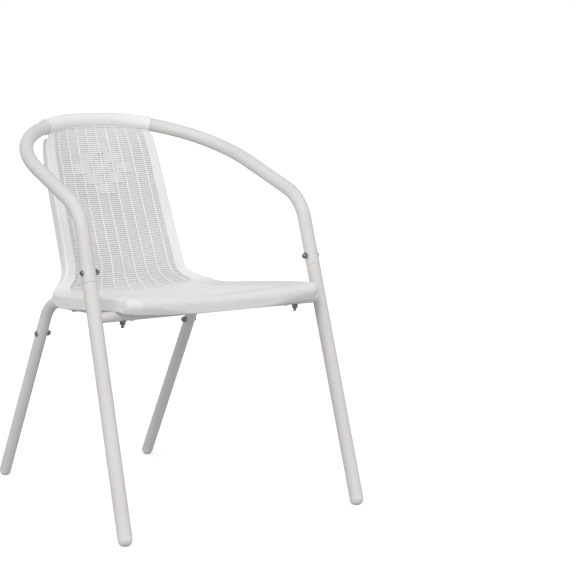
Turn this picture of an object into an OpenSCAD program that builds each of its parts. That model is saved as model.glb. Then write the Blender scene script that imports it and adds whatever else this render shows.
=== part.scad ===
// Stacking armchair: bent steel tubes, bolted legs and one moulded seat and back.
// X runs across the chair, the sitter faces -Y, +Z is up and the feet stand on Z = 0.

/* [Tubes] */
// Outer diameter of the arm hoop and the front legs
tube_d = 26; // [25:0.5:27]
// Outer diameter of the seat rails and the rear legs
rear_d = 22; // [21:0.5:23]
// Outer diameter of the front cross rail
rail_d = 19; // [17:0.5:20]
// Outer diameter of the rear cross brace under the seat
brace_d = 16; // [12:1:18]
// Wall of every steel tube
wall = 1.2; // [1:0.1:1.5]

/* [Stance] */
// Distance between the two front foot centres
front_track = 520; // [510:2:530]
// Distance between the two rear foot centres
rear_track = 337; // [330:1:344]
// Distance from the front foot centres to the rear ones
foot_depth = 567; // [560:1:575]
// Radius of the flat that each foot cap stands on
foot_flat_r = 4.5; // [3:0.5:6]

/* [Arm hoop] */
// Height of the joint between a front leg and the hoop
front_joint_z = 442; // [436:1:448]
// How far the hoop runs on in line with the leg before its arm bend
arm_rise = 130; // [120:1:140]
// Centre-line radius of the arm bends
arm_bend_r = 85; // [70:1:95]
// Height of the tube's centre at the crown of the back
crown_z = 696; // [690:1:702]
// How far behind the origin the crown lies
crown_y = 241; // [238:1:244]
// Centre-line radius of the two wide bends round the back
crown_bend_r = 220; // [210:1:222]

/* [Seat frame] */
// Height of the front cross rail's centre
rail_z = 381; // [379:0.5:383]
// Distance between the centre lines of the two seat rails
seat_rail_gap = 345; // [335:1:355]
// Height of a seat rail where it turns down at the back
rear_corner_z = 370; // [368:0.5:373]
// Centre-line radius of the bend from seat rail to rear leg
rear_bend_r = 60; // [50:1:70]
// Height of the bolt through each rear joint
rear_bolt_z = 303; // [298:1:308]

/* [Fasteners] */
// Thread diameter of the bolts
bolt_d = 6; // [5:0.5:6]
// Diameter of a bolt's button head
head_d = 10.5; // [9:0.5:12]
// Width across the flats of the nuts
nut_flats = 10; // [8:0.5:11]

/* [Moulded seat and back] */
// Wall of the moulding
shell_t = 3.2; // [2.5:0.1:3.4]
// Wall of the sleeve that wraps the crown of the hoop
sleeve_t = 2.2; // [1.5:0.1:2.5]
// Height of the rolled lip at the middle of the front edge
lip_h = 29.5; // [28:1:34]

/* [Hidden] */
$fn = 64;
tube_r = tube_d / 2;
rear_r = rear_d / 2;
rail_r = rail_d / 2;
bolt_r = bolt_d / 2;
hole_r = bolt_r + 0.2;
fit_gap = 0.15;
insert_len = 36;
socket_above_bolt = 17;
cap_rim_h = 3;
head_h = 3.3;
nut_h = 5;
eps = 0.01;
seam = 0.8;
hair = 0.02;
bend_reach = 0.3;

function unit(v) = v / norm(v);
function mix(a, b, t) = a + (b - a) * t;

// Height of a foot ball's centre, from its radius and the flat cut on it
function ball_z(r) = sqrt(r * r - foot_flat_r * foot_flat_r);

// The feet are spaced so that the whole chair is centred on the origin
front_foot_y = -(foot_depth - (tube_r - rear_r)) / 2;
front_foot = [front_track / 2, front_foot_y, ball_z(tube_r)];
front_joint = [250, -149, front_joint_z];
front_up = unit(front_joint - front_foot);
front_bolt = front_joint + front_up * socket_above_bolt;
rear_foot = [rear_track / 2, front_foot_y + foot_depth, ball_z(rear_r)];

// Arm hoop: crown, wide rear bend, arm bend, leg joint
arm_corner = front_joint + front_up * arm_rise;
crown_corner = [226, crown_y, crown_z];
hoop_half = [[0, crown_y, crown_z], crown_corner, arm_corner, front_joint];

// Seat frame
function on_line(p, d, z) = p + d * ((z - p.z) / d.z);
rail_y = on_line(front_foot, front_up, rail_z).y;
rail_x = on_line(front_foot, front_up, rail_z).x;
rear_corner = [seat_rail_gap / 2, 111, rear_corner_z];
rear_up = unit(rear_corner - rear_foot);
rear_bolt = on_line(rear_foot, rear_up, rear_bolt_z);
rear_joint = rear_bolt - rear_up * 9;
rail_start = [seat_rail_gap / 2, rail_y, rail_z];
brace_y = 30;
brace_drop = 6;
seat_bolt_x = 193;

// ---- placing helpers ----

// Mirrors a right-hand piece to the left when side is -1
module on_side(side) {
    if (side > 0) children();
    else mirror([1, 0, 0]) children();
}

// Puts a piece made along +Z at p, pointing along d
module along(p, d) {
    u = unit(d);
    axis = cross([0, 0, 1], u);
    translate(p)
        rotate(a = acos(u.z), v = norm(axis) < 1e-6 ? [1, 0, 0] : axis)
            children();
}

module ring(r, t) {
    difference() {
        circle(r);
        circle(r - t);
    }
}

// ---- bent tube: straight runs and round bends along a list of corners ----

function turn(a, p, b) = acos(unit(p - a) * unit(b - p));
function setback(a, p, b, bend_r) = bend_r * tan(turn(a, p, b) / 2);

module straight(a, b, r, t) {
    along(a, b - a)
        linear_extrude(norm(b - a)) ring(r, t);
}

// Puts a piece in a frame with its origin at o and these three axes
module place(o, x, y, z) {
    multmatrix([
        [x.x, y.x, z.x, o.x],
        [x.y, y.y, z.y, o.y],
        [x.z, y.z, z.z, o.z],
        [0, 0, 0, 1]
    ])
        children();
}

// A bend is a hair thinner than its straight runs and reaches a little way
// into both, which makes one clean solid of them
module bend(a, p, b, bend_r, r, t) {
    to_a = unit(a - p);
    to_b = unit(b - p);
    angle = turn(a, p, b);
    reach = bend_reach / bend_r * 180 / PI;
    centre = p + unit(to_a + to_b) * bend_r / cos(angle / 2);
    x = unit(p + to_a * bend_r * tan(angle / 2) - centre);
    place(centre, x, -to_a, cross(x, -to_a))
        rotate([0, 0, -reach])
            rotate_extrude(angle = angle + 2 * reach, $fn = 48)
                translate([bend_r, 0]) ring(r - hair, t - 2 * hair);
}

module bent_tube(corners, radii, r, t) {
    last = len(corners) - 1;
    // how much of each run its bends take up
    cut = [for (i = [0:last]) i == 0 || i == last ? 0
        : setback(corners[i - 1], corners[i], corners[i + 1], radii[i - 1])];
    for (i = [0:last - 1]) {
        d = unit(corners[i + 1] - corners[i]);
        straight(corners[i] + d * cut[i], corners[i + 1] - d * cut[i + 1], r, t);
    }
    for (i = [1:last - 1])
        bend(corners[i - 1], corners[i], corners[i + 1], radii[i - 1], r, t);
}

// ---- steel frame ----

// Cross hole for a bolt that runs along X through p
module cross_hole(p) {
    translate(p) rotate([0, 90, 0]) cylinder(r = hole_r, h = 60, center = true);
}

// Two mirrored halves that meet at the middle of the crown
module arm_hoop() {
    color("gainsboro")
        difference() {
            for (side = [-1, 1])
                on_side(side)
                    bent_tube(hoop_half, [crown_bend_r, arm_bend_r], tube_r, wall);
            for (side = [-1, 1])
                cross_hole([side * front_bolt.x, front_bolt.y, front_bolt.z]);
        }
}

// Straight leg from its foot cap to the joint, with its top swaged down to
// slide inside the tube above
module leg(foot, joint, r, length_in) {
    run = norm(joint - foot) - cap_rim_h;
    plug_r = r - wall - fit_gap;
    along(foot + unit(joint - foot) * cap_rim_h, joint - foot)
        rotate_extrude()
            polygon([
                [r, 0], [r, run - seam], [r - seam, run], [plug_r, run],
                [plug_r, run + length_in - 2],
                [plug_r - 0.6, run + length_in], [plug_r - wall, run + length_in],
                [plug_r - wall, run - 3], [r - wall, run - 5], [r - wall, 0]
            ]);
}

module front_leg(side) {
    color("gainsboro")
        on_side(side)
            difference() {
                leg(front_foot, front_joint, tube_r, insert_len);
                cross_hole(front_bolt);
            }
}

module rear_leg(side) {
    color("gainsboro")
        on_side(side)
            difference() {
                leg(rear_foot, rear_joint, rear_r, insert_len - 8);
                cross_hole(rear_bolt);
            }
}

module front_cross_rail() {
    color("gainsboro")
        difference() {
            translate([0, rail_y, rail_z])
                rotate([0, 90, 0])
                    linear_extrude(2 * rail_x, center = true) ring(rail_r, wall);
            for (side = [-1, 1]) {
                on_side(side)
                    along(front_foot, front_up) cylinder(r = tube_r, h = 500);
                translate([side * seat_bolt_x, rail_y, rail_z])
                    cylinder(r = hole_r, h = 2 * rail_d, center = true);
            }
        }
}

module seat_rail(side) {
    color("gainsboro")
        on_side(side)
            difference() {
                bent_tube([rail_start, rear_corner, rear_joint], [rear_bend_r], rear_r, wall);
                translate([0, rail_y, rail_z])
                    rotate([0, 90, 0]) cylinder(r = rail_r, h = 500, center = true);
                cross_hole(rear_bolt);
            }
}

module rear_cross_brace() {
    brace = mix(rail_start, rear_corner, (brace_y - rail_start.y) / (rear_corner.y - rail_start.y));
    color("gainsboro")
        difference() {
            translate([0, brace.y, brace.z - brace_drop])
                rotate([0, 90, 0])
                    linear_extrude(2 * brace.x, center = true) ring(brace_d / 2, wall);
            for (side = [-1, 1])
                on_side(side)
                    along(rail_start, rear_corner - rail_start) cylinder(r = rear_r, h = 400);
        }
}

// ---- feet ----

// Plug, rim and ball-shaped end, cut flat where it stands
module foot_cap(foot, up, r) {
    color("white")
        difference() {
            along(foot, up)
                rotate_extrude() {
                    intersection() {
                        circle(r);
                        translate([0, -r]) square(r);
                    }
                    square([r, cap_rim_h]);
                    square([r - wall - fit_gap, cap_rim_h + 16]);
                }
            translate([foot.x, foot.y, -r])
                cube([4 * r, 4 * r, 2 * r], center = true);
        }
}

// ---- fasteners ----

// Button head, shank and blind hex socket; made along +Z with the head's
// seat at Z = 0 and the head above it
module button_bolt(length) {
    color("dimgray")
        difference() {
            union() {
                intersection() {
                    cylinder(d = head_d, h = head_h);
                    translate([0, 0, head_h - head_d * 0.72]) sphere(d = head_d * 1.44);
                }
                translate([0, 0, -length]) cylinder(r = bolt_r, h = length + eps);
            }
            translate([0, 0, head_h - 2]) cylinder(d = 4.6, h = 3, $fn = 6);
        }
}

// Closed nut; its seat is at Z = 0 and its dome points to +Z
module cap_nut() {
    color("dimgray")
        difference() {
            union() {
                cylinder(d = nut_flats / cos(30), h = nut_h, $fn = 6);
                translate([0, 0, nut_h]) scale(0.9) sphere(d = nut_flats);
            }
            translate([0, 0, -1]) cylinder(r = bolt_r, h = nut_h + 3);
        }
}

module plain_nut() {
    color("dimgray")
        difference() {
            cylinder(d = nut_flats / cos(30), h = nut_h, $fn = 6);
            translate([0, 0, -1]) cylinder(r = bolt_r, h = nut_h + 2);
        }
}

module joint_bolt(side, at, r) {
    on_side(side)
        translate([at.x + r, at.y, at.z])
            rotate([0, 90, 0]) button_bolt(2 * r + nut_h + 1);
}

module joint_nut(side, at, r) {
    on_side(side)
        translate([at.x - r, at.y, at.z])
            rotate([0, -90, 0]) cap_nut();
}

washer_t = 1.2;
seat_bolt_top = 404;
// Hexagon-headed bolt, head up, held captive in the moulding
module seat_bolt_shape(side) {
    low = rail_z - rail_r - washer_t - nut_h - 6;
    translate([side * seat_bolt_x, rail_y, 0]) {
        translate([0, 0, low]) cylinder(r = bolt_r, h = seat_bolt_top - low);
        translate([0, 0, seat_bolt_top - 4]) cylinder(d = 9, h = 4, $fn = 6);
    }
}

module seat_bolt(side) {
    color("dimgray") seat_bolt_shape(side);
}

module seat_washer(side) {
    color("dimgray")
        translate([side * seat_bolt_x, rail_y, rail_z - rail_r - washer_t])
            linear_extrude(washer_t) ring(6, 6 - hole_r);
}

module seat_nut(side) {
    color("dimgray")
        translate([side * seat_bolt_x, rail_y, rail_z - rail_r - washer_t - nut_h])
            plain_nut();
}

// ---- moulded seat and back ----

// Stations along the middle of the moulding, from the front edge to the top:
// [y, z, half width, how far the side edges stand proud, depth of the skirt]
stations = [
    [-217, 411, 204, 7, 29], [-170, 404, 211, 10, 24], [-100, 395.5, 211, 11, 24],
    [-20, 386, 204, 11, 24], [50, 379.5, 189, 10, 24], [86, 380, 181, 13, 22],
    [106, 389, 165, 12, 20], [117, 405, 143, 10, 20], [124, 425, 135, 11, 21],
    [138, 460, 133, 12, 22], [160, 512, 131, 12, 21], [188, 580, 129, 12, 20],
    [211, 640, 127, 11, 17], [222, 668, 124, 11, 10], [227, 684, 119, 10, 4]
];
last_station = len(stations) - 1;
station_step = 0.5;
columns = 14;
side_roll = 4;
front_roll = 15;
corner_roll = 14;
front_bow = 5;
sleeve_half = 119;
sleeve_from = 202;
sleeve_to = -104;
sleeve_rows = 15;

function spline(a, b, c, d, t) = 0.5 * (2 * b + (c - a) * t
    + (2 * a - 5 * b + 4 * c - d) * t * t + (3 * b - a - 3 * c + d) * t * t * t);
function knot(i) = stations[min(max(i, 0), last_station)];
function at_station(v) = let (i = min(floor(v), last_station - 1))
    spline(knot(i - 1), knot(i), knot(i + 1), knot(i + 2), v - i);
function rise(v) = let (a = at_station(max(v - 0.05, 0)),
    b = at_station(min(v + 0.05, last_station))) unit([b[0] - a[0], b[1] - a[1]]);
// Unit normal of the sitter's side, in the YZ plane
function face(v) = let (t = rise(v)) [0, -t[1], t[0]];

// Free surface of the sitter's side: u runs from -1 to 1 across, v along the stations
function sheet(u, v) = let (s = at_station(v), n = face(v),
    bow = front_bow * max(0, 1 - v / 2.5) * pow(abs(u), 4))
    [(s[2] - side_roll) * u, s[0] + bow, s[1]] + n * s[3] * u * u;

// Frame of the hoop's crown above a point x from the middle
hoop_in = unit([0, arm_corner.y - crown_corner.y, arm_corner.z - crown_corner.z]);
hoop_up = cross([1, 0, 0], -hoop_in);
crown_flat = crown_corner.x
    - setback([0, crown_y, crown_z], crown_corner, arm_corner, crown_bend_r);
function crown_turn(x) = asin(max(0, abs(x) - crown_flat) / crown_bend_r);
function crown_at(x) = [x, crown_y, crown_z]
    + hoop_in * crown_bend_r * (1 - cos(crown_turn(x)));
function sleeve_point(u, angle, r) = let (x = sleeve_half * u, a = crown_turn(x),
    out = [sign(x) * sin(a), 0, 0] - hoop_in * cos(a))
    crown_at(x) + (out * cos(angle) + hoop_up * sin(angle)) * r;

// Near the top the sheet runs into the sleeve
function soft(t) = let (c = min(max(t, 0), 1)) c * c * (3 - 2 * c);
function into_sleeve(v) = soft((v - last_station + 2.5) / 2.5);
function skin(u, v) = mix(sheet(u, v),
    sleeve_point(u, sleeve_from, sleeve_in_r + sleeve_t), into_sleeve(v));
function underside(u, v) = mix(sheet(u, v) - face(v) * shell_t,
    sleeve_point(u, sleeve_from, sleeve_in_r), into_sleeve(v));

shell_rows = last_station / station_step;
all_rows = shell_rows + sleeve_rows;
sleeve_in_r = tube_r + 0.2;
function across(i) = 2 * i / columns - 1;
function sleeve_angle(j) = mix(sleeve_from, sleeve_to, (j - shell_rows) / sleeve_rows);
function outer_at(i, j) = j <= shell_rows ? skin(across(i), j * station_step)
    : sleeve_point(across(i), sleeve_angle(j), sleeve_in_r + sleeve_t);
function inner_at(i, j) = j <= shell_rows ? underside(across(i), j * station_step)
    : sleeve_point(across(i), sleeve_angle(j), sleeve_in_r);

// Rim: grid places [i, j] down the left side, along the front, up the right side
rim_rows = shell_rows - 3;
rim = concat([for (j = [rim_rows:-1:1]) [0, j]], [for (i = [0:columns]) [i, 0]],
    [for (j = [1:rim_rows]) [columns, j]]);
function rim_point(k) = skin(across(rim[k][0]), rim[k][1] * station_step);
// Outward direction, square to the rim and to the skin's normal
function rim_out(k) = let (last = len(rim) - 1)
    unit(cross(rim_point(min(k + 1, last)) - rim_point(max(k - 1, 0)),
        face(rim[k][1] * station_step)));
function rim_roll(k) = rim[k][1] > 0
    ? mix(corner_roll, side_roll, min(1, rim[k][1] * station_step))
        * (1 - into_sleeve(rim[k][1] * station_step) / 2)
    : mix(front_roll, corner_roll, pow(abs(across(rim[k][0])), 4));
function rim_depth(k) = let (s = at_station(rim[k][1] * station_step))
    rim[k][1] > 0 ? s[4] : mix(lip_h, s[4], pow(abs(across(rim[k][0])), 2));
function rim_down(k) = rim[k][1] > 0 ? -face(rim[k][1] * station_step) : [0, 0, -1];
// Skirt rows: 0 is the skin's own edge, 3 the bottom of the skirt
function skirt_outside(k, row) = let (roll = rim_roll(k))
    rim_point(k) + rim_out(k) * (row == 1 ? roll * 0.7 : roll)
        + rim_down(k) * (row == 1 ? roll * 0.3 : row == 2 ? roll : max(rim_depth(k), roll + 1));
function skirt_inside(k, row) = let (roll = rim_roll(k), left = roll - min(shell_t, roll * 0.8),
    q = underside(across(rim[k][0]), rim[k][1] * station_step))
    row == 3 ? rim_point(k) + rim_out(k) * left + rim_down(k) * max(rim_depth(k), roll + 1)
    : q + rim_out(k) * left * (row == 1 ? 0.7 : 1)
        + rim_down(k) * (row == 1 ? roll * 0.3 + 0.2 : max(roll - 3, roll * 0.3 + 0.7));

module moulding() {
    wide = columns + 1;
    grid = wide * (all_rows + 1);
    around = len(rim);
    // corner numbers of the outer and inner skins and skirts
    function g(side, i, j) = side * grid + j * wide + i;
    function s(side, k, row) = row == 0 ? g(side, rim[k][0], rim[k][1])
        : 2 * grid + side * 3 * around + (row - 1) * around + k;
    points = concat(
        [for (j = [0:all_rows]) for (i = [0:columns]) outer_at(i, j)],
        [for (j = [0:all_rows]) for (i = [0:columns]) inner_at(i, j)],
        [for (row = [1:3]) for (k = [0:around - 1]) skirt_outside(k, row)],
        [for (row = [1:3]) for (k = [0:around - 1]) skirt_inside(k, row)]
    );
    function two(a, b, c, d) = [[a, b, c], [a, c, d]];
    quads = concat(
        [for (j = [0:all_rows - 1]) for (i = [0:columns - 1])
            each two(g(0, i, j), g(0, i, j + 1), g(0, i + 1, j + 1), g(0, i + 1, j))],
        [for (j = [0:all_rows - 1]) for (i = [0:columns - 1])
            each two(g(1, i, j), g(1, i + 1, j), g(1, i + 1, j + 1), g(1, i, j + 1))],
        [for (k = [0:around - 2]) for (row = [0:2])
            each two(s(0, k, row), s(0, k + 1, row), s(0, k + 1, row + 1), s(0, k, row + 1))],
        [for (k = [0:around - 2]) for (row = [0:2])
            each two(s(1, k, row), s(1, k, row + 1), s(1, k + 1, row + 1), s(1, k + 1, row))],
        [for (k = [0:around - 2])
            each two(s(0, k, 3), s(0, k + 1, 3), s(1, k + 1, 3), s(1, k, 3))],
        [for (row = [0:2]) each two(s(0, 0, row), s(0, 0, row + 1), s(1, 0, row + 1), s(1, 0, row))],
        [for (row = [0:2]) each two(s(0, around - 1, row), s(1, around - 1, row),
            s(1, around - 1, row + 1), s(0, around - 1, row + 1))],
        [for (j = [rim_rows:all_rows - 1])
            each two(g(0, 0, j), g(1, 0, j), g(1, 0, j + 1), g(0, 0, j + 1))],
        [for (j = [rim_rows:all_rows - 1])
            each two(g(0, columns, j), g(0, columns, j + 1), g(1, columns, j + 1), g(1, columns, j))],
        [for (i = [0:columns - 1]) each two(g(0, i, all_rows), g(1, i, all_rows),
            g(1, i + 1, all_rows), g(0, i + 1, all_rows))]
    );
    polyhedron(points, quads, convexity = 8);
}

boss_d = 13;
boss_top = 411;
module seat_and_back_shell() {
    color("white")
        resize([0, 0, 0]) {
            moulding();
            for (side = [-1, 1])
                difference() {
                    translate([side * seat_bolt_x, rail_y, rail_z + rail_r])
                        cylinder(d = boss_d, h = boss_top - rail_z - rail_r);
                    seat_bolt_shape(side);
                }
        }
}

arm_hoop();
front_leg(-1);  // front_leg_left
front_leg(1);  // front_leg_right
front_cross_rail();
seat_rail(-1);  // seat_rail_left
seat_rail(1);  // seat_rail_right
rear_cross_brace();
rear_leg(-1);  // rear_leg_left
rear_leg(1);  // rear_leg_right
seat_and_back_shell();
on_side(-1) foot_cap(front_foot, front_up, tube_r);  // front_foot_cap_left
on_side(1) foot_cap(front_foot, front_up, tube_r);  // front_foot_cap_right
on_side(-1) foot_cap(rear_foot, rear_up, rear_r);  // rear_foot_cap_left
on_side(1) foot_cap(rear_foot, rear_up, rear_r);  // rear_foot_cap_right
joint_bolt(-1, front_bolt, tube_r);  // front_joint_bolt_left
joint_bolt(1, front_bolt, tube_r);  // front_joint_bolt_right
joint_bolt(-1, rear_bolt, rear_r);  // rear_joint_bolt_left
joint_bolt(1, rear_bolt, rear_r);  // rear_joint_bolt_right
joint_nut(-1, front_bolt, tube_r);  // front_cap_nut_left
joint_nut(1, front_bolt, tube_r);  // front_cap_nut_right
joint_nut(-1, rear_bolt, rear_r);  // rear_cap_nut_left
joint_nut(1, rear_bolt, rear_r);  // rear_cap_nut_right
seat_bolt(-1);  // seat_bolt_left
seat_bolt(1);  // seat_bolt_right
seat_washer(-1);  // seat_washer_left
seat_washer(1);  // seat_washer_right
seat_nut(-1);  // seat_nut_left
seat_nut(1);  // seat_nut_right
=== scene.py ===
"""Looks of the stacking armchair.

A moulded imitation-wicker seat and back on a powder-coated tube frame. Lengths are in mm in the
shape code, and Build.make turns them into metres.
"""

import math

import bmesh
import bpy
import numpy as np
from mathutils import Matrix, Vector


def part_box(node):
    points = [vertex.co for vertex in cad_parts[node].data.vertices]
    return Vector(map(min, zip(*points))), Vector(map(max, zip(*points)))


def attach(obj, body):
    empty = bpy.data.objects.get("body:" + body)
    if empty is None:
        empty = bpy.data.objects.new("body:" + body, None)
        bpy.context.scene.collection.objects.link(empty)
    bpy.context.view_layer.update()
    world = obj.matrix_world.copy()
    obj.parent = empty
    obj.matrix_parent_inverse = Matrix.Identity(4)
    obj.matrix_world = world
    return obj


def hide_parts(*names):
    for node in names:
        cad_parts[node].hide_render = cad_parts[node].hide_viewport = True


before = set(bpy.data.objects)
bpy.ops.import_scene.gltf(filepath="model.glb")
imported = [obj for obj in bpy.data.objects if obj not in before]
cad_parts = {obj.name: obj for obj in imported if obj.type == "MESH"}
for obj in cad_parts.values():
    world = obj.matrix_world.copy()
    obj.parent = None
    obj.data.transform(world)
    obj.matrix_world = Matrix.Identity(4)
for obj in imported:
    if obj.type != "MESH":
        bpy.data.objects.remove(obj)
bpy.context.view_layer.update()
MM = 0.001

# ---------------------------------------------------------------- camera
YAW, PITCH, ROLL = math.radians(38.11), math.radians(8.19), math.radians(1.15)
LENS_MM, SENSOR_MM = 125.2, 36.0
CLIP_NEAR, CLIP_FAR = 0.1, 100
TARGET = Vector((0, 0, 0.4))
DISTANCE, PAN_RIGHT, PAN_UP = 3.777, 0.242, -0.0047


def make_camera():
    flat = math.cos(PITCH)
    ahead = Vector((math.sin(YAW) * flat, math.cos(YAW) * flat, -math.sin(PITCH)))
    level = Vector((math.cos(YAW), -math.sin(YAW), 0))
    up = level.cross(ahead)
    right = level * math.cos(ROLL) + up * math.sin(ROLL)
    up = -level * math.sin(ROLL) + up * math.cos(ROLL)
    data = bpy.data.cameras.new("camera")
    data.lens, data.sensor_width = LENS_MM, SENSOR_MM
    data.clip_start, data.clip_end = CLIP_NEAR, CLIP_FAR
    cam = bpy.data.objects.new("camera", data)
    bpy.context.scene.collection.objects.link(cam)
    at = TARGET - ahead * DISTANCE + right * PAN_RIGHT + up * PAN_UP
    turn = Matrix((right, up, -ahead)).transposed().to_4x4()
    cam.matrix_world = Matrix.Translation(at) @ turn
    bpy.context.scene.camera = cam


make_camera()


# ---------------------------------------------------------------- materials
# darker and lighter colour of each mottled surface
COAT_COLOURS = (0.665, 0.65, 0.632), (0.70, 0.685, 0.668)
PLASTIC_COLOURS = (0.80, 0.797, 0.79), (0.83, 0.828, 0.822)
FOOT_COLOURS = (0.70, 0.69, 0.665), (0.755, 0.745, 0.725)
ZINC_COLOURS = (0.16, 0.163, 0.17), (0.36, 0.36, 0.355)
FLOOR_COLOURS = (0.93, 0.93, 0.93), (0.95, 0.95, 0.95)
# painted shade: the floor of the recess under the weave gets this darker colour for the shade it
# lies in, not the plastic's own colour
RECESS_PAINTED_SHADE = (0.60, 0.60, 0.595)
# the fine upright ribs on the seat's lip: pitch in mm, depth in metres
RIB_PITCH, RIB_DEPTH = 3.4, 0.0004
# the part of a noise texture's range that a ramp spreads out
NOISE_LOW, NOISE_HIGH = 0.35, 0.65


def new_material(name):
    mat = bpy.data.materials.new(name)
    mat.use_nodes = True
    tree = mat.node_tree
    return mat, tree, tree.nodes["Principled BSDF"]


def node(tree, kind, **inputs):
    n = tree.nodes.new(kind)
    for key, value in inputs.items():
        n.inputs[key.replace("_", " ")].default_value = value
    return n


def noise(tree, scale, detail, coords):
    n = node(tree, "ShaderNodeTexNoise", Scale=scale, Detail=detail)
    tree.links.new(coords, n.inputs["Vector"])
    return n.outputs["Fac"]


def ramp(tree, source, low, high, start=NOISE_LOW, end=NOISE_HIGH):
    r = tree.nodes.new("ShaderNodeMapRange")
    r.inputs["From Min"].default_value = start
    r.inputs["From Max"].default_value = end
    r.inputs["To Min"].default_value = low
    r.inputs["To Max"].default_value = high
    tree.links.new(source, r.inputs["Value"])
    return r.outputs["Result"]


def tinted(tree, source, a, b):
    """Mixes colours a and b, each a tuple or a socket, by source."""
    m = tree.nodes.new("ShaderNodeMix")
    m.data_type = "RGBA"
    for label, colour in (("A", a), ("B", b)):
        if isinstance(colour, tuple):
            m.inputs[label].default_value = (*colour, 1)
        else:
            tree.links.new(colour, m.inputs[label])
    tree.links.new(source, m.inputs["Factor"])
    return m.outputs["Result"]


def mottled(tree, source, colours):
    return tinted(tree, ramp(tree, source, 0, 1), *colours)


def attribute(tree, name):
    n = tree.nodes.new("ShaderNodeAttribute")
    n.attribute_name = name
    return n.outputs["Fac"]


def maths(tree, operation, *values):
    m = tree.nodes.new("ShaderNodeMath")
    m.operation = operation
    for socket, value in zip(m.inputs, values):
        if isinstance(value, (int, float)):
            socket.default_value = value
        else:
            tree.links.new(value, socket)
    return m.outputs["Value"]


def bumped(tree, bsdf, layers):
    """Chains bump nodes, each (height socket, strength, distance in metres)."""
    last = None
    for height, strength, distance in layers:
        b = node(tree, "ShaderNodeBump", Strength=strength, Distance=distance)
        tree.links.new(height, b.inputs["Height"])
        if last is not None:
            tree.links.new(last, b.inputs["Normal"])
        last = b.outputs["Normal"]
    tree.links.new(last, bsdf.inputs["Normal"])


def object_coords(tree):
    return tree.nodes.new("ShaderNodeTexCoord").outputs["Object"]


def powder_coat():
    mat, t, bsdf = new_material("powder_coat")
    at = object_coords(t)
    broad, peel, grain = (noise(t, scale, 2, at) for scale in (9, 900, 3200))
    t.links.new(mottled(t, broad, COAT_COLOURS), bsdf.inputs["Base Color"])
    t.links.new(ramp(t, peel, 0.34, 0.46), bsdf.inputs["Roughness"])
    bsdf.inputs["Specular IOR Level"].default_value = 0.5
    bumped(t, bsdf, [(peel, 0.16, 0.0004), (grain, 0.08, 0.0002)])
    return mat


def moulded_plastic(name, ribbed=False):
    """The seat and back's plastic; ribbed adds what only the moulded body has: the lip's ribs
    and the painted shade on the recess floor under the weave.
    """
    mat, t, bsdf = new_material(name)
    at = object_coords(t)
    broad, fine = noise(t, 14, 2, at), noise(t, 1400, 3, at)
    colour = mottled(t, broad, PLASTIC_COLOURS)
    if ribbed:
        # painted shade: the recess floor under the weave is tinted darker
        colour = tinted(t, attribute(t, "painted_shade"), colour, RECESS_PAINTED_SHADE)
    t.links.new(colour, bsdf.inputs["Base Color"])
    t.links.new(ramp(t, fine, 0.40, 0.52), bsdf.inputs["Roughness"])
    bsdf.inputs["Specular IOR Level"].default_value = 0.45
    layers = [(fine, 0.10, 0.0003)]
    if ribbed:
        turns = maths(t, "MULTIPLY", attribute(t, "along"), 2 * math.pi / RIB_PITCH)
        ribs = maths(t, "MULTIPLY", maths(t, "SINE", turns), attribute(t, "ribbed"))
        layers.insert(0, (ribs, 1.0, RIB_DEPTH))
    bumped(t, bsdf, layers)
    return mat


def foot_plastic():
    mat, t, bsdf = new_material("foot_plastic")
    at = object_coords(t)
    broad, fine = noise(t, 60, 3, at), noise(t, 1800, 2, at)
    t.links.new(mottled(t, broad, FOOT_COLOURS), bsdf.inputs["Base Color"])
    t.links.new(ramp(t, fine, 0.48, 0.6), bsdf.inputs["Roughness"])
    bumped(t, bsdf, [(broad, 0.05, 0.001), (fine, 0.1, 0.0003)])
    return mat


def zinc_steel():
    mat, t, bsdf = new_material("zinc_steel")
    at = object_coords(t)
    blotch, scratch = noise(t, 260, 4, at), noise(t, 2600, 3, at)
    t.links.new(mottled(t, blotch, ZINC_COLOURS), bsdf.inputs["Base Color"])
    bsdf.inputs["Metallic"].default_value = 1.0
    t.links.new(ramp(t, scratch, 0.25, 0.42), bsdf.inputs["Roughness"])
    bumped(t, bsdf, [(scratch, 0.12, 0.0002)])
    return mat


COAT, ZINC, FOOT = powder_coat(), zinc_steel(), foot_plastic()
PLASTIC = moulded_plastic("moulded_plastic")
# the ribbed plastic also paints shade on the recess floor under the weave
RIBBED_WITH_PAINTED_SHADE = moulded_plastic("moulded_plastic_ribbed", ribbed=True)
FRAME_SHARP, BODY_SHARP, WEAVE_SHARP = (math.radians(a) for a in (35, 40, 60))


def dress_frame():
    """Gives every CAD node its material."""
    for name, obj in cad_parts.items():
        small = any(word in name for word in ("bolt", "nut", "washer"))
        mat = FOOT if "foot_cap" in name else ZINC if small else COAT
        obj.data.materials.clear()
        obj.data.materials.append(mat)
        obj.data.shade_smooth()
        obj.data.set_sharp_from_angle(angle=FRAME_SHARP)


dress_frame()


# ---------------------------------------------------------------- moulding: its surface
# One row per station up the middle: y, z, half width, edge lift, skirt depth, in mm
STATIONS = np.array(
    [
        (-218, 411, 206.5, 7, 29),
        (-170, 404, 211, 10, 24),
        (-100, 395.5, 211, 11, 24),
        (-20, 386, 204, 11, 24),
        (50, 379.5, 189, 10, 24),
        (86, 380, 181, 13, 22),
        (106, 389, 165, 12, 20),
        (117, 405, 143, 10, 20),
        (124, 425, 135, 11, 21),
        (138, 460, 133, 12, 22),
        (160, 512, 131, 12, 21),
        (188, 580, 129, 12, 20),
        (211, 640, 127, 11, 17),
        (222, 668, 124, 11, 10),
        (227, 684, 119, 10, 4),
    ],
    float,
)
LAST = len(STATIONS) - 1
# where the upright back starts, in stations
BACK_FROM = 4.0
WALL, SLEEVE_WALL = 3.2, 2.2
SIDE_ROLL, CORNER_ROLL, FRONT_ROLL = 4.0, 14.0, 15.0
LIP_H, FRONT_BOW = 29.5, 5.0
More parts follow.
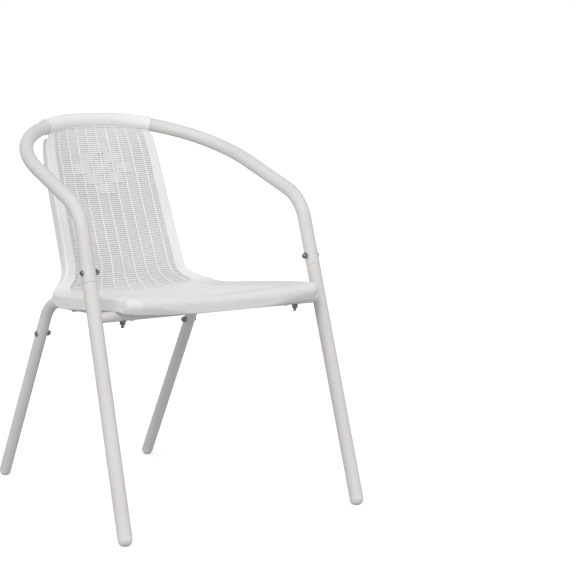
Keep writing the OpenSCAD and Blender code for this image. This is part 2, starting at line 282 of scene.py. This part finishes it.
# how many stations back the front edge's bow reaches
BOW_REACH = 2.5
# rounding of the front corners in plan: by how much, from which share of u, to which station
CORNER_CUT, CUT_FROM_U, CUT_TO_V = 3.5, 0.93, 0.35
TUBE_R, BEND_R = 13.0, 220.0
# the sleeve over the hoop's crown: half its width in mm, and its arc in degrees
SLEEVE_HALF, SLEEVE_FROM, SLEEVE_TO = 119.0, 202.0, -104.0
# over how many stations the sheet runs into the sleeve
INTO_SLEEVE = 2.5
SLEEVE_IN = TUBE_R + 0.2
SLEEVE_OUT = SLEEVE_IN + SLEEVE_WALL


def unit(v):
    v = np.asarray(v, float)
    return v / np.linalg.norm(v, axis=-1, keepdims=True)


def soft(t):
    """A smooth step from 0 to 1."""
    t = np.clip(t, 0, 1)
    return t * t * (3 - 2 * t)


def mix(a, b, t):
    return a + (b - a) * t


def station(v):
    """Catmull-Rom through the stations; v may be an array."""
    v = np.asarray(v, float)
    i = np.clip(np.floor(v).astype(int), 0, LAST - 1)
    a, b, c, d = (STATIONS[np.clip(i + k, 0, LAST)] for k in (-1, 0, 1, 2))
    t = (v - i)[..., None]
    return 0.5 * (
        2 * b + (c - a) * t + (2 * a - 5 * b + 4 * c - d) * t**2 + (3 * b - a - 3 * c + d) * t**3
    )


def face(v):
    """Unit normal of the sitter's side at station v, in the YZ plane."""
    v = np.asarray(v, float)
    rise = (station(np.minimum(v + 0.05, LAST)) - station(np.maximum(v - 0.05, 0)))[..., :2]
    rise = unit(rise)
    return np.stack([np.zeros_like(v), -rise[..., 1], rise[..., 0]], -1)


# the hoop's centre line: its corner behind the back, and its corner above the front joint
CROWN_X, ARM_RISE = 226.0, 130
hoop_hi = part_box("arm_hoop")[1]
CROWN = np.array([CROWN_X, hoop_hi.y / MM - TUBE_R, hoop_hi.z / MM - TUBE_R])
FRONT_FOOT, FRONT_JOINT = np.array([260, -282.5, 12.2]), np.array([250.0, -149, 442])
ARM_CORNER = FRONT_JOINT + unit(FRONT_JOINT - FRONT_FOOT) * ARM_RISE
HOOP_IN = unit([0, ARM_CORNER[1] - CROWN[1], ARM_CORNER[2] - CROWN[2]])
HOOP_UP = np.cross([1, 0, 0], -HOOP_IN)
HOOP_TURN = math.acos(unit(ARM_CORNER - CROWN) @ np.array([1.0, 0, 0]))
CROWN_FLAT = CROWN[0] - BEND_R * math.tan(HOOP_TURN / 2)


def sleeve_point(u, degrees, r):
    """Point of the sleeve: u across, degrees round the hoop's tube, r from its centre line."""
    x = np.asarray(SLEEVE_HALF * u, float)
    turn = np.arcsin(np.maximum(0, np.abs(x) - CROWN_FLAT) / BEND_R)[..., None]
    centre = np.stack([x, np.full_like(x, CROWN[1]), np.full_like(x, CROWN[2])], -1)
    centre = centre + HOOP_IN * BEND_R * (1 - np.cos(turn))
    side = np.stack([np.sign(x), 0 * x, 0 * x], -1)
    out = side * np.sin(turn) - HOOP_IN * np.cos(turn)
    a = np.radians(np.asarray(degrees, float))[..., None]
    return centre + (out * np.cos(a) + HOOP_UP * np.sin(a)) * np.asarray(r)[..., None]


def sheet(u, v):
    """The sitter's side of the seat and back, before it runs into the sleeve."""
    s, n = station(v), face(v)
    bow = FRONT_BOW * np.maximum(0, 1 - v / BOW_REACH) * np.abs(u) ** 4
    # the two front corners are rounded off in plan
    share_u = np.clip((np.abs(u) - CUT_FROM_U) / (1 - CUT_FROM_U), 0, 1)
    share_v = np.clip(1 - v / CUT_TO_V, 0, 1)
    bow = bow + CORNER_CUT * share_u**2 * share_v
    tuck = CORNER_CUT * share_v**2 * share_u
    x = (s[..., 2] - SIDE_ROLL) * u - np.sign(u) * tuck
    p = np.stack([x, s[..., 0] + bow, s[..., 1]], -1)
    return p + n * (s[..., 3] * u * u)[..., None]


def into_sleeve(v):
    return soft((v - LAST + INTO_SLEEVE) / INTO_SLEEVE)


def skin(u, v):
    u, v = np.broadcast_arrays(np.asarray(u, float), np.asarray(v, float))
    k = into_sleeve(v)[..., None]
    return mix(sheet(u, v), sleeve_point(u, SLEEVE_FROM, SLEEVE_OUT), k)


def underside(u, v):
    u, v = np.broadcast_arrays(np.asarray(u, float), np.asarray(v, float))
    k = into_sleeve(v)[..., None]
    return mix(sheet(u, v) - face(v) * WALL, sleeve_point(u, SLEEVE_FROM, SLEEVE_IN), k)


# the woven panel: its share of u on the seat and on the back, and its first and last station
PANEL_SEAT_U, PANEL_BACK_U = 0.80, 0.866
PANEL_FRONT, PANEL_TOP = 0.95, 13.35


def panel_edge(v):
    """How far across the woven panel reaches at station v, as a share of u."""
    return mix(PANEL_SEAT_U, PANEL_BACK_U, soft((v - BACK_FROM) / 4.0))


# ---------------------------------------------------------------- mesh helpers
class Build:
    """Collects grids of points into one mesh."""

    def __init__(self):
        self.points, self.faces, self.count = [], [], 0
        self.along, self.ribbed, self.painted_shade = [], [], []

    def grid(self, p, flip=False, keep=None, along=0, ribbed=0, painted_shade=0, wrap=False):
        """p is rows x columns x 3. keep(row, column) says which quads stay.

        along is the distance in mm run along a ribbed lip, ribbed is how deep its ribs are
        there, and the third says how far the surface is tinted with the painted shade of the
        recess under the weave.
        """
        rows, cols = p.shape[:2]
        base = self.count
        self.points.append(p.reshape(-1, 3))
        for store, values in ((self.along, along), (self.ribbed, ribbed), (self.painted_shade, painted_shade)):
            store.append(np.broadcast_to(values, (rows, cols)).reshape(-1))
        self.count += rows * cols
        for r in range(rows - 1):
            for c in range(cols if wrap else cols - 1):
                if keep is not None and not keep(r, c):
                    continue
                e = (c + 1) % cols
                this, following = base + r * cols, base + (r + 1) * cols
                q = (this + c, this + e, following + e, following + c)
                self.faces.append(q[::-1] if flip else q)

    def make(self, name, mat, sharp, merge=0.0):
        """Makes the object; merge is the distance in metres under which points join."""
        me = bpy.data.meshes.new(name)
        me.from_pydata((np.concatenate(self.points) * MM).tolist(), [], self.faces)
        for label in ("along", "ribbed", "painted_shade"):
            values = np.concatenate(getattr(self, label)).astype(np.float32)
            me.attributes.new(label, "FLOAT", "POINT").data.foreach_set("value", values)
        if merge:
            bm = bmesh.new()
            bm.from_mesh(me)
            bmesh.ops.remove_doubles(bm, verts=bm.verts, dist=merge)
            bmesh.ops.recalc_face_normals(bm, faces=bm.faces)
            bm.to_mesh(me)
            bm.free()
        me.materials.append(mat)
        me.shade_smooth()
        me.set_sharp_from_angle(angle=sharp)
        obj = bpy.data.objects.new(name, me)
        bpy.context.scene.collection.objects.link(obj)
        return obj


def place_piece(obj):
    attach(obj, "root")
    return obj


# ---------------------------------------------------------------- moulding: smooth body
BORDER_COLS, PANEL_COLS = 16, 44
FRONT_ROWS, ROW_STEP = 26, 0.1
SLEEVE_ROWS = 34
# the sleeve's free ends flare by this much in mm
SLEEVE_FLARE = 0.9
# stations below the top at which the rolled rim ends and the sleeve's free end starts
RIM_BELOW_TOP = 1.5
# thickness of the recess's floor, as a share of the wall
RECESS_FLOOR = 0.15
RIDGES, RIDGE_H = 5, 0.35
# the rim: steps round each front corner, and round the rolled edge
CORNER_STEPS, ROLL_STEPS = 11, 9
# the lip turns under near its corners, over a band this high and this deep
UNDER_H, UNDER_IN = 10.5, 7.5
# rows of the rim's profile that carry the ribs
RIB_ROWS = slice(3, 13)
# points of the body this close, in metres, become one
MERGE = 1e-6


def column_u(v):
    """u of every column at station v: border, panel, border."""
    e = panel_edge(v)
    left = np.linspace(-1, -e, BORDER_COLS + 1)
    mid = np.linspace(-e, e, PANEL_COLS + 1)[1:-1]
    return np.concatenate([left, mid, -left[::-1]])


def ridge(share):
    """Height of the seat border's fine ridges; share is 0 at the rim and 1 at the panel."""
    wave = 0.5 - 0.5 * np.cos(2 * math.pi * RIDGES * share)
    return RIDGE_H * wave * soft(share / 0.12) * soft((1 - share) / 0.1)


def rows_v():
    """Station of every row, with one row on each end of the panel."""
    clear = 0.4 * ROW_STEP
    base = np.arange(0, LAST + 1e-9, ROW_STEP)
    front = np.linspace(0, PANEL_FRONT, FRONT_ROWS)
    rest = base[base > PANEL_FRONT + clear]
    rest = np.sort(np.append(rest[np.abs(rest - PANEL_TOP) > clear], PANEL_TOP))
    return np.concatenate([front, rest])


def body():
    """The whole moulding but for its weave, as one surface."""
    vs = rows_v()
    us = np.array([column_u(v) for v in vs])
    V = np.repeat(vs[:, None], us.shape[1], 1)
    top = skin(us, V)
    low = underside(us, V)
    # ridges fade out where the seat turns up into the back
    edge = panel_edge(V)
    side_share = (1 - np.abs(us)) / (1 - edge)
    front_share = V / PANEL_FRONT
    share = np.minimum(np.clip(side_share, 0, 1), np.clip(front_share, 0, 1))
    seat = 1 - soft((V - BACK_FROM) / 1.5)
    top = top + face(V) * (ridge(share) * seat)[..., None]
    n = us.shape[1]
    first, last = BORDER_COLS, BORDER_COLS + PANEL_COLS
    row_in = np.where((vs >= PANEL_FRONT - 1e-6) & (vs <= PANEL_TOP + 1e-6))[0]
    r0, r1 = row_in[0], row_in[-1]

    def outside_panel(r, c):
        return not (r0 <= r < r1 and first <= c < last)

    b = Build()
    # sleeve: hook of rows on round the tube
    angles = np.linspace(SLEEVE_FROM, SLEEVE_TO, SLEEVE_ROWS + 1)
    U = np.repeat(us[-1][None, :], SLEEVE_ROWS + 1, 0)
    A = np.repeat(angles[:, None], n, 1)
    flare = SLEEVE_FLARE * soft((np.abs(U) - 0.955) / 0.02)
    hook_out = sleeve_point(U, A, SLEEVE_OUT + flare * soft((SLEEVE_FROM - A) / 40))
    hook_in = sleeve_point(U, A, SLEEVE_IN)
    b.grid(top, keep=outside_panel)
    b.grid(low, flip=True)
    b.grid(hook_out)
    b.grid(hook_in, flip=True)
    # the weave lies in a recess with a thin floor
    floor = mix(low, top, RECESS_FLOOR)
    down, across = slice(r0, r1 + 1), slice(first, last + 1)
    # painted shade: the recess floor is marked for the darker painted shade tint
    b.grid(floor[down, across], painted_shade=1.0)
    for line in ((down, first), (down, last), (r0, across), (r1, across)):
        b.grid(np.stack([top[line], floor[line]]))
    # free edges: up the sleeve's ends and along its lip
    rim_rows = int(np.argmin(np.abs(vs - (LAST - RIM_BELOW_TOP))))
    for c in (0, n - 1):
        b.grid(np.stack([top[rim_rows:, c], low[rim_rows:, c]]))
        b.grid(np.stack([hook_out[:, c], hook_in[:, c]]))
    b.grid(np.stack([hook_out[-1], hook_in[-1]]))
    rim(b, top, low, us, V, rim_rows)
    return b.make("moulded_body", RIBBED_WITH_PAINTED_SHADE, BODY_SHARP, MERGE)


def distance_along(line):
    steps = np.linalg.norm(np.diff(line, axis=0), axis=1)
    return np.concatenate([[0], np.cumsum(steps)])


def rim(b, top, low, us, V, rim_rows):
    """Rolled edge and skirt along both sides and the front."""
    n = us.shape[1]
    loop = [(r, 0) for r in range(rim_rows, 0, -1)] + [(0, c) for c in range(n)]
    loop += [(r, n - 1) for r in range(1, rim_rows + 1)]
    corners = (loop.index((0, 0)), loop.index((0, n - 1)))
    turn_at = np.repeat(
        np.arange(len(loop)), [CORNER_STEPS if k in corners else 1 for k in range(len(loop))]
    )
    rows, cols = np.array(loop).T
    p, q = top[rows, cols], low[rows, cols]
    u, v = us[rows, cols], V[rows, cols]
    normal = face(v)
    ahead = np.roll(p, -1, 0)
    ahead[-1] = p[-1]
    behind = np.roll(p, 1, 0)
    behind[0] = p[0]
    out = unit(np.cross(ahead - behind, normal))
    # several copies of each corner point let the skirt swing round it
    fan = out[turn_at]
    for k in corners:
        here = np.where(turn_at == k)[0]
        fan[here] = unit(mix(out[k - 1], out[k + 1], np.linspace(0, 1, CORNER_STEPS)[:, None]))
    out = fan
    p, q, u, v, normal, rows = (a[turn_at] for a in (p, q, u, v, normal, rows))
    on_side = rows > 0
    roll = np.where(
        on_side,
        mix(CORNER_ROLL, SIDE_ROLL, np.minimum(1, v)) * (1 - into_sleeve(v) / 2),
        mix(FRONT_ROLL, CORNER_ROLL, np.abs(u) ** 4),
    )
    depth = np.where(on_side, station(v)[:, 4], mix(LIP_H, STATIONS[0, 4], u * u))
    # the skirt turns from straight down at the front to square to the skin at the sides
    lean = soft(v / 1.2)[:, None]
    down = unit(mix(np.array([0, 0, -1.0]), -normal, lean))
    wall = np.minimum(WALL, roll * 0.8)
    profile = []

    def step(start, outward, downward):
        profile.append(start + out * outward[:, None] + down * downward[:, None])

    for a in np.radians(np.linspace(0, 90, ROLL_STEPS)):
        step(p, roll * math.sin(a), roll * (1 - math.cos(a)))
    depth = np.maximum(depth, roll + 1.5)
    # near its corners the lip's face turns under along a slanting line
    under = np.where(on_side, 1 - soft(v / 0.5), soft((np.abs(u) - 0.38) / 0.45))
    inset = UNDER_IN * under
    face_end = np.maximum(depth - 0.8 - UNDER_H * under, roll + 0.3)
    for share in (0.25, 0.5, 0.75, 1.0):
        step(p, roll, mix(roll, face_end, share))
    for share in (0.5, 1.0):
        step(p, roll - 0.3 - inset * share, mix(face_end, depth - 0.6, share))
    roll = roll - inset
    step(p, roll - 0.9, depth)
    step(p, roll - wall + 0.3, depth)
    step(p, roll - wall, depth - 0.7)
    step(q, roll - wall, np.maximum(roll - 3, roll * 0.3 + 0.7))
    step(q, (roll - wall) * 0.7, roll * 0.3 + 0.2)
    profile.append(q)
    profile = np.stack(profile)
    ribbed = np.zeros(profile.shape[:2])
    ribbed[RIB_ROWS] = np.where(on_side, 1 - soft((v - 0.25) / 0.3), 1.0)
    b.grid(profile, along=distance_along(p + out * roll[:, None]), ribbed=ribbed)
    for k in (0, -1):
        ring = profile[:, k]
        half = len(ring) // 2
        b.grid(np.stack([ring[:half], ring[::-1][:half]]))


moulded = place_piece(body())
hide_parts("seat_and_back_shell")


# ---------------------------------------------------------------- moulding: weave
ROW_PITCH = 4.1
STAKES, STAKE_STEP = 9, 0.192
STRAND_H, STRAND_T = 2.6, 2.2
STAKE_W, STAKE_T = 3.2, 2.5
# a strand's samples across, a stake's along, and the sides of both
STRAND_POINTS, STAKE_POINTS, SIDES = 65, 360, 8
# how far strands and stakes lie from the surface, and how far a strand swings in and out
WEAVE_LEVEL, STAKE_LEVEL, WEAVE_SWING = -1.5, -1.35, 0.75
# a strand's lift where it runs over a stake, under it, and over one that it hides
OVER, UNDER, HIDES = -0.35, -1.0, 1.25
# the diamond: rows in a band, its top, and the height of a strand in its blocks
BAND_ROWS, DIAMOND_TOP_Z, BLOCK_STRAND_H = 5, 652.0, 3.75
# stakes hidden under the strands in each band of the diamond, and those left bare beside them
HIDDEN = [(0,), (-1, 1), (-2, 0, 2), (-1, 1), (0,)]
BARE = [(-1, 1), (-2, 0, 2), (-3, -1, 1, 3), (-2, 0, 2), (-1, 1)]
STAKE_NUMBERS = np.arange(-(STAKES // 2), STAKES // 2 + 1)


def strip(b, centre, wide, width, n, thickness):
    """Adds a flat-faced strip: width along wide and thickness along n, at each centre."""
    around = np.linspace(0, 2 * math.pi, SIDES, endpoint=False) + math.pi / SIDES
    # superellipse, like pressed strip
    cx, cy = (np.sign(w) * np.abs(w) ** 0.6 for w in (np.cos(around), np.sin(around)))
    ring = (
        centre[:, None, :]
        + wide[:, None, :] * (width[:, None] * cx[None, :] / 2)[:, :, None]
        + n[:, None, :] * (cy * thickness / 2)[None, :, None]
    )
    b.grid(ring, wrap=True)


def strand_rows():
    """Station of every strand, evenly spaced up the panel, and the diamond's top row."""
    v_of = np.linspace(PANEL_FRONT, PANEL_TOP, 1500)
    line = skin(0 * v_of, v_of)
    arc = distance_along(line)
    count = int(arc[-1] // ROW_PITCH)
    s_rows = (np.arange(count) + 0.5) * arc[-1] / count
    v_rows = np.interp(s_rows, arc, v_of)
    z_rows = np.interp(s_rows, arc, line[:, 2])
    on_seat = 1e3 * (v_rows < 8)
    return v_rows, int(np.argmin(np.abs(z_rows - DIAMOND_TOP_Z) + on_seat))


def strands():
    b = Build()
    v_rows, top_row = strand_rows()
    for row, v in enumerate(v_rows):
        e = float(panel_edge(v)) + 0.012
        u = np.linspace(-e, e, STRAND_POINTS)
        band = (top_row - row) // BAND_ROWS
        hidden, bare = (HIDDEN[band], BARE[band]) if 0 <= band < len(HIDDEN) else ((), ())
        lift = np.where((row + STAKE_NUMBERS) % 2 == 0, OVER, UNDER)
        lift[[k + STAKES // 2 for k in hidden]] = HIDES
        lift[[k + STAKES // 2 for k in bare]] = UNDER
        # strands that cross a hidden stake are pressed together into a smooth block
        far = [np.full_like(u, 9.0)]
        near = np.min([np.abs(u - k * STAKE_STEP) for k in hidden] + far, 0) / STAKE_STEP
        tall = mix(STRAND_H, BLOCK_STRAND_H, soft((0.86 - near) / 0.12))
        knots = np.concatenate([[-e], STAKE_NUMBERS * STAKE_STEP, [e]])
        swing = np.interp(u, knots, np.concatenate([[0.0], lift, [0.0]]))
        # round the straight runs into waves
        swing = np.sin(np.clip(swing, -HIDES, HIDES) / HIDES * math.pi / 2) * 1.1
        V = np.full_like(u, v)
        n = face(V)
        up = unit(skin(u, V + 0.02) - skin(u, V - 0.02))
        centre = skin(u, V) + n * (WEAVE_LEVEL + WEAVE_SWING * swing)[:, None]
        strip(b, centre, up, tall, n, STRAND_T)
    return b.make("woven_strands", PLASTIC, WEAVE_SHARP)


def stakes():
    b = Build()
    v = np.linspace(PANEL_FRONT - 0.04, PANEL_TOP + 0.05, STAKE_POINTS)
    for k in STAKE_NUMBERS:
        u = np.full_like(v, k * STAKE_STEP)
        n = face(v)
        right = unit(skin(u + 0.01, v) - skin(u - 0.01, v))
        width = np.full_like(v, STAKE_W)
        strip(b, skin(u, v) + n * STAKE_LEVEL, right, width, n, STAKE_T)
    return b.make("woven_stakes", PLASTIC, WEAVE_SHARP)


place_piece(strands())
place_piece(stakes())


# ---------------------------------------------------------------- stage and light
# the world's strength falls from NEAR to FAR along LIGHT_AWAY
WORLD_NEAR, WORLD_FAR = 1.28, 0.54
LIGHT_AWAY, AWAY_FROM, AWAY_TO = (0.66, 0.75, 0.0), -0.9, 0.6
KEY_W, FILL_W = 22, 3
# the point both lights face
LIT = (0, 0, 0.4)
WHITE, BLACK = (1, 1, 1), (0, 0, 0)
FLOOR_HALF, FLOOR_ROUGHNESS = 60.0, 0.9
# what the floor gives off to the camera, and the grey that the other rays find
FLOOR_GLOW, FLOOR_BOUNCE = (0.34, 0.34, 0.34), (0.45, 0.45, 0.45)


def camera_ray(tree):
    return tree.nodes.new("ShaderNodeLightPath").outputs["Is Camera Ray"]


def stage():
    me = bpy.data.meshes.new("floor")
    s = FLOOR_HALF
    me.from_pydata([(-s, -s, 0), (s, -s, 0), (s, s, 0), (-s, s, 0)], [], [(0, 1, 2, 3)])
    floor = bpy.data.objects.new("floor", me)
    bpy.context.scene.collection.objects.link(floor)
    mat, t, bsdf = new_material("pale_floor")
    pale = mottled(t, noise(t, 3, 2, object_coords(t)), FLOOR_COLOURS)
    # white to the camera, but it throws little light back up at the chair
    seen = camera_ray(t)
    t.links.new(tinted(t, seen, FLOOR_BOUNCE, pale), bsdf.inputs["Base Color"])
    t.links.new(tinted(t, seen, BLACK, FLOOR_GLOW), bsdf.inputs["Emission Color"])
    bsdf.inputs["Emission Strength"].default_value = 1.0
    bsdf.inputs["Roughness"].default_value = FLOOR_ROUGHNESS
    me.materials.append(mat)


def area_light(name, at, size, power):
    data = bpy.data.lights.new(name, "AREA")
    data.shape, data.size, data.energy = "DISK", size, power
    obj = bpy.data.objects.new(name, data)
    bpy.context.scene.collection.objects.link(obj)
    obj.location = at
    obj.rotation_mode = "QUATERNION"
    obj.rotation_quaternion = (Vector(LIT) - Vector(at)).to_track_quat("-Z", "Y")


def light():
    world = bpy.data.worlds.new("studio")
    bpy.context.scene.world = world
    world.use_nodes = True
    t = world.node_tree
    soft_box = t.nodes["Background"]
    # bright in front and at -X, dimmer behind and at +X
    where = t.nodes.new("ShaderNodeTexCoord").outputs["Generated"]
    away = t.nodes.new("ShaderNodeVectorMath")
    away.operation = "DOT_PRODUCT"
    away.inputs[1].default_value = LIGHT_AWAY
    t.links.new(where, away.inputs[0])
    strength = ramp(t, away.outputs["Value"], WORLD_NEAR, WORLD_FAR, AWAY_FROM, AWAY_TO)
    t.links.new(strength, soft_box.inputs["Strength"])
    # the camera itself sees plain white
    seen = node(t, "ShaderNodeBackground", Strength=1.0)
    for background in (seen, soft_box):
        background.inputs["Color"].default_value = (*WHITE, 1)
    pick = t.nodes.new("ShaderNodeMixShader")
    t.links.new(camera_ray(t), pick.inputs["Fac"])
    t.links.new(soft_box.outputs["Background"], pick.inputs[1])
    t.links.new(seen.outputs["Background"], pick.inputs[2])
    t.links.new(pick.outputs["Shader"], t.nodes["World Output"].inputs["Surface"])
    area_light("key", (-2.2, -2.2, 2.6), 1.0, KEY_W)
    area_light("fill", (1.5, -3.2, 1.4), 2.2, FILL_W)
    bpy.context.scene.view_settings.view_transform = "Standard"
    bpy.context.scene.view_settings.look = "None"


stage()
light()
